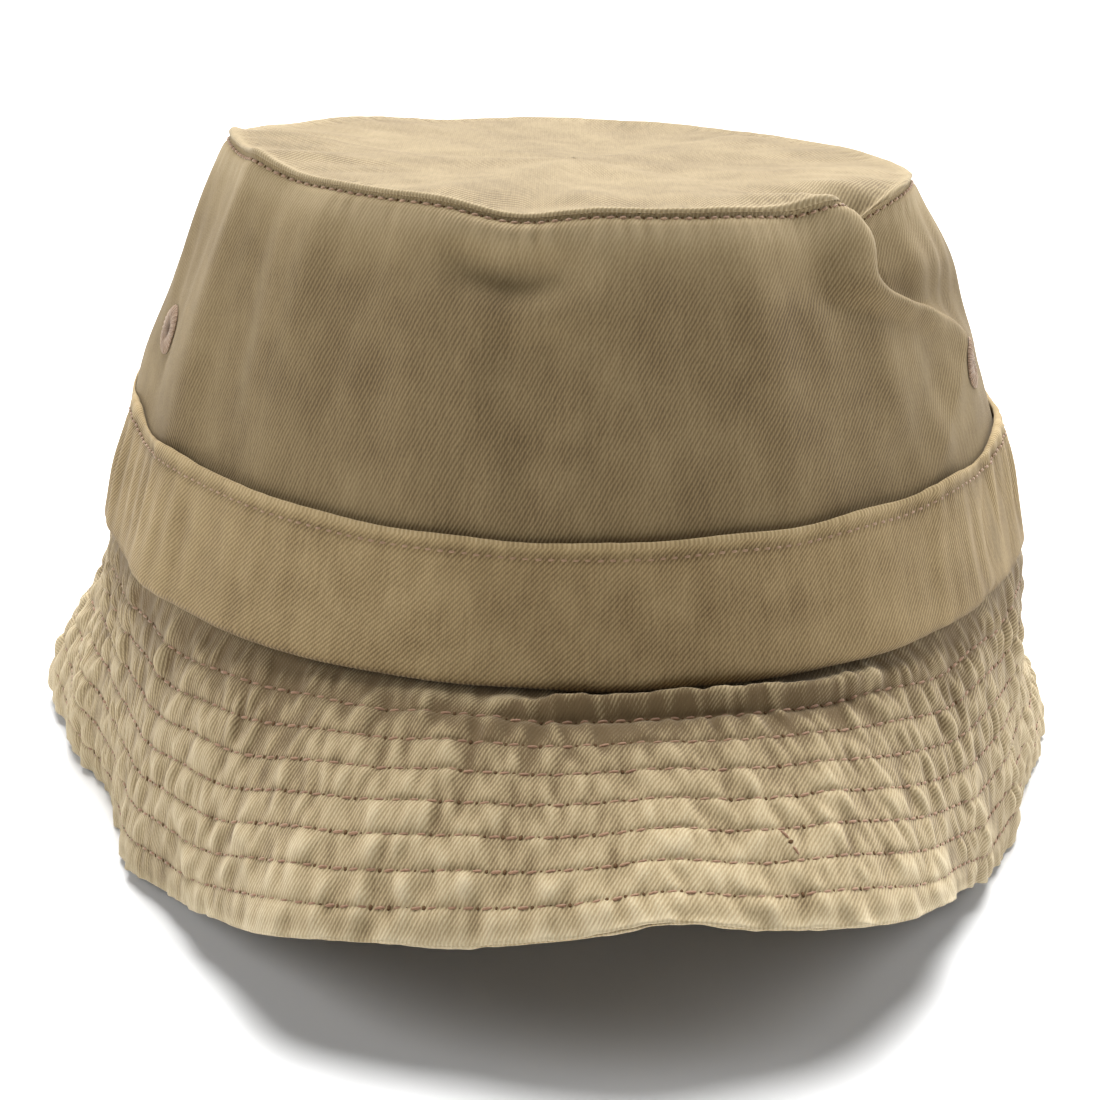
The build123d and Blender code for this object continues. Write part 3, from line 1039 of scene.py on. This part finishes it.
def twill(name, light, mid, dark, angle=62, sheen=0.18):
    """Washed cotton twill: slanted ribs over yarns, uneven fade, slubs, and the wear_and_shading attribute,
    which holds real wear on seams and edges plus painted light and painted shade.
    """
    look = Look(name)
    u, v, uv = look.cloth()
    turn = math.radians(angle)
    wobble = look.times(look.math("SUBTRACT", look.noise(uv, 260.0), 0.5), 0.9 * TWILL_PERIOD)
    across, along = look.times(u, math.sin(turn)), look.times(v, math.cos(turn))
    slope = look.plus(look.math("SUBTRACT", across, along), wobble)
    rib = look.scaled(look.stripes(slope, TWILL_PERIOD), 0.5, 0.5)
    bead = look.scaled(look.stripes(u, YARN_PERIOD), 0.20, 0.80)
    weave = look.times(rib, bead)
    fade = look.noise(uv, 26.0, 4.0)
    cloud = look.noise(uv, 110.0, 3.0)
    slub = look.noise(uv, 1.0, 2.0, stretch=((1500.0, 160.0, 1.0), turn - math.pi / 2))
    grain = look.noise(uv, 1700.0, 2.0)
    amount = look.scaled(weave, 0.50, 0.08)
    for field, share in ((fade, 0.55), (cloud, 0.42), (slub, 0.30), (grain, 0.34)):
        amount = look.plus(amount, look.times(look.math("SUBTRACT", field, 0.5), share))
    # wear_and_shading lifts and deepens the colour: worn places and painted light are paler, painted shade is
    # darker
    amount = look.scaled(look.wear_and_shading(), 0.30, look.plus(amount, 0.10), clamp=True)
    lower = look.times(amount, 2.0, clamp=True)
    upper = look.scaled(amount, 2.0, -1.0, clamp=True)
    color = look.mix(upper, look.mix(lower, dark, mid), light)
    height = look.plus(look.times(weave, 0.75), look.times(grain, 0.5))
    look.bump(look.plus(height, look.times(cloud, 0.6)), 0.10 * MM)
    return look.surface(color, look.scaled(grain, 0.15, 0.82), sheen)


def dyed(name, angle, tone_and_light, shade_warmth, sheen):
    """Stone twill as lit and shaded copies of one cloth: tone_and_light paints a piece paler where it stands
    in light and darker where it stands in shade, and shade_warmth paints the shaded pieces warmer.
    """
    shades = ((214, 194, 155), (182, 160, 118), (116, 94, 61))
    colors = [rgb(r, g * (1 - 0.02 * shade_warmth), b * (1 - 0.06 * shade_warmth), tone_and_light) for r, g, b in shades]
    return twill(name, *colors, angle, sheen)


def blend(look, field, share, other, other_share, shift):
    """Sum of two fields, kept between 0 and 1."""
    return look.plus(look.times(field, share), look.scaled(other, other_share, shift), clamp=True)


def thread_look(name, light, dark):
    look = Look(name)
    spot = look.space()
    fibre = look.noise(spot, 2400.0, 3.0)
    amount = blend(look, fibre, 0.7, look.noise(spot, 90.0), 0.9, -0.3)
    look.bump(look.noise(spot, 1600.0), 0.08 * MM)
    return look.surface(look.mix(amount, dark, light), look.scaled(fibre, 0.2, 0.5), 0.25, 0.4)


# Needle holes get painted shade: a dark brown stands in for the shade inside each hole.
def hole_shade_look():
    look = Look("needle_hole_shade")
    shade = look.noise(look.space(), 1500.0)
    color = look.mix(shade, rgb(92, 68, 46), rgb(130, 100, 70))
    look.bump(shade, 0.05 * MM)
    return look.surface(color, look.scaled(shade, 0.1, 0.88), 0.0, 0.1)


def satin_look():
    """Embroidery thread laid side by side."""
    look = Look("eyelet_satin")
    u, v, uv = look.cloth()
    strand = look.scaled(look.stripes(u, 0.21 * MM), 0.5, 0.5)
    fuzz = look.noise(uv, 1800.0)
    amount = look.plus(look.times(strand, 0.45), look.times(fuzz, 0.35))
    amount = look.plus(amount, look.scaled(look.noise(look.space(), 500.0), 0.5, -0.15), clamp=True)
    color = look.mix(amount, rgb(128, 92, 66), rgb(214, 178, 142))
    look.bump(strand, 0.10 * MM)
    return look.surface(color, look.scaled(fuzz, 0.2, 0.5), 0.3, 0.4)


def felt_look():
    look = Look("interlining_felt")
    spot = look.space()
    mat = look.noise(spot, 900.0, 4.0)
    amount = blend(look, mat, 0.7, look.noise(spot, 60.0), 0.3, 0.0)
    color = look.mix(amount, rgb(188, 182, 168), rgb(232, 228, 218))
    look.bump(mat, 0.2 * MM)
    return look.surface(color, look.scaled(mat, 0.1, 0.85), 0.1)


def tape_look():
    """Plain-woven cotton tape."""
    look = Look("seam_tape_cotton")
    u, v, uv = look.cloth()
    woven = look.times(look.stripes(u, 0.6 * MM), look.stripes(v, 0.5 * MM))
    weave = look.scaled(woven, 0.5, 0.5)
    amount = blend(look, weave, 0.5, look.noise(uv, 120.0, 3.0), 0.7, -0.1)
    color = look.mix(amount, rgb(146, 124, 90), rgb(200, 180, 142))
    look.bump(weave, 0.1 * MM)
    return look.surface(color, look.scaled(weave, 0.1, 0.78), 0.15)


# Lit and shaded copies of one cloth: the walls carry the deepest painted shade, and the top, band and brim are
# painted paler in that order. Walls and band are painted warmer, the brim cooler.
wall_cloth = dyed("wall_cloth", 62, 0.41, 1.0, 0.05)
top_cloth = dyed("top_cloth", 62, 0.49, 0.0, 0.12)
band_cloth = dyed("band_cloth", 48, 0.55, 1.0, 0.08)
brim_cloth = dyed("brim_cloth", 120, 0.67, -0.7, 0.16)
lining_cloth = twill("lining_cloth", rgb(216, 198, 164), rgb(190, 170, 132), rgb(134, 112, 80))
seam_thread = thread_look("seam_thread", rgb(200, 156, 120), rgb(144, 100, 72))
pale_thread = thread_look("pale_thread", rgb(202, 166, 130), rgb(144, 104, 76))
hole_shade = hole_shade_look()
satin = satin_look()
felt = felt_look()
tape = tape_look()

# ---- the hat

SIDE_GAP = 0.03              # degrees left open at the side seams
HALVES = {"front": (SIDE_GAP - 90, 90 - SIDE_GAP), "back": (90 + SIDE_GAP, 270 - SIDE_GAP)}
SIDE_TAPES = {"left": -90, "right": 90}


def show(obj, node, slot, *materials):
    for material in materials:
        obj.data.materials.append(material)
    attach(obj, "root")
    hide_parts(node)
    return obj


walls, plies, felts, side_tapes = {}, [], [], []
for half, ends in HALVES.items():
    wall = crown_wall("crown_wall_" + half, *ends)
    walls[half] = show(wall, "crown_side_" + half, "crown_twill", wall_cloth)
top_panel = show(crown_top(), "crown_top", "crown_twill", top_cloth)
band = show(hat_band(), "hat_band", "band_twill", band_cloth)
for looks, node, side in (("brim_top_", "brim_upper_", 1), ("brim_lower_", "brim_under_", -1)):
    for half, ends in HALVES.items():
        plies.append(show(brim_ply(looks + half, *ends, side), node + half, "brim_twill", brim_cloth))
for half, ends in HALVES.items():
    sheet = stiffener("interlining_sheet_" + half, *ends)
    felts.append(show(sheet, "brim_interlining_" + half, "interlining", felt))
sweat = show(lining_strip(), "sweatband", "sweatband_twill", lining_cloth)
binding = show(seam_binding(), "crown_seam_tape", "seam_tape", tape)
for side, azimuth in SIDE_TAPES.items():
    strip = side_binding("side_binding_" + side, azimuth)
    side_tapes.append(show(strip, "side_seam_tape_" + side, "seam_tape", tape))
for node, azimuth in EYELETS.items():
    show(eyelet_ring(node, azimuth), node, "eyelet_thread", satin)
    bore(walls["front" if abs(azimuth) < 90 else "back"], node, azimuth)

for half, ends in HALVES.items():
    rows = brim_thread("brim_rows_" + half, *ends)
    show(rows, "brim_stitching_" + half, "topstitch_thread", seam_thread, hole_shade)
around = np.linspace(0, 360, 2400)
crown_line = traced(lambda off: wall_point(around, seam_height(around) - STITCH_DROP, off - 0.58 * MM))
band_line = traced(lambda off: band_point(around, BAND_TOP - BAND_STITCH_DROP, off))
sweat_line = traced(lambda off: wall_point(around, SWEAT_STITCH, -CLOTH - SWEAT_GAP - 0.6 * MM - off))
for row, node, material in (
        (sewn("crown_seam_row", [crown_line], 2.35, 1.75, 0.30, 0.04, 0.2, 0.34), "crown_seam", pale_thread),
        (sewn("band_row", [band_line], 2.15, 1.8, 0.26, 0.02, 0.1, 0.38), "band", pale_thread),
        (sewn("sweatband_row", [sweat_line], 2.8, 2.1, 0.22, 0.02, 0.0, 0.3), "sweatband", seam_thread)):
    show(row, node + "_stitching", "topstitch_thread", material, hole_shade)

# ---- studio

REACH = 6.0
floor_mesh = bpy.data.meshes.new("floor")
floor_corners = [(-REACH, -REACH, 0), (REACH, -REACH, 0), (REACH, REACH, 0), (-REACH, REACH, 0)]
floor_mesh.from_pydata(floor_corners, [], [(0, 1, 2, 3)])
floor = new_object("floor", floor_mesh)
floor.location.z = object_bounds()[0].z
paper = Look("floor_paper")
speck = paper.noise(paper.space(), 40.0)
pale = paper.mix(speck, (0.75, 0.75, 0.75, 1), (0.77, 0.77, 0.77, 1))
floor_mesh.materials.append(paper.surface(pale, 0.9, 0.0, 0.1))


def lamp(name, kind, power, spot, aim, size):
    """A sun of some degrees across, or a disc of some metres."""
    data = bpy.data.lights.new(name, kind)
    data.energy = power
    if kind == "SUN":
        data.angle = math.radians(size)
    else:
        data.shape = "DISK"
        data.size = size
    obj = new_object(name, data)
    obj.location = spot
    obj.rotation_euler = (Vector(aim) - Vector(spot)).to_track_quat("-Z", "Y").to_euler()


MIDDLE = (CENTRE.x, CENTRE.y, JOINT_Z + 0.03)
lamp("overhead", "SUN", 7.0, (0.1, 0.88, 1.8), (0, 0, 0), 50)
lamp("behind", "SUN", 3.0, (0.1, 1.49, 1.34), (0, 0, 0), 40)
lamp("left_fill", "AREA", 7.8, (-1.1, -0.1, 0.6), MIDDLE, 0.7)
lamp("right_fill", "AREA", 8.0, (1.1, 0.25, 0.5), MIDDLE, 0.8)
lamp("front_fill", "AREA", 2.2, (0, -1.1, 0.25), MIDDLE, 0.8)
world = bpy.data.worlds.new("studio")
world.use_nodes = True
backdrop = world.node_tree.nodes["Background"]
backdrop.inputs["Color"].default_value = (1, 1, 1, 1)
backdrop.inputs["Strength"].default_value = 0.05
bpy.context.scene.world = world
bpy.context.scene.view_settings.view_transform = "Standard"

# The photograph's view: close to the hat, level with the crown's top and looking down on the brim
EYE = Vector((-3.4, -475.9, 169.9)) * MM
PITCH_DOWN, ROLL_LEFT = 0.3651, 0.0181
lens = bpy.data.cameras.new("camera")
lens.sensor_width = 36
lens.lens = 78.4
lens.dof.use_dof = False
camera = new_object("camera", lens)
camera.location = Vector((CENTRE.x, CENTRE.y, JOINT_Z)) + EYE
look_along = Matrix.Rotation(math.pi / 2 - PITCH_DOWN, 4, "X") @ Matrix.Rotation(ROLL_LEFT, 4, "Z")
camera.rotation_euler = look_along.to_euler()
bpy.context.scene.camera = camera
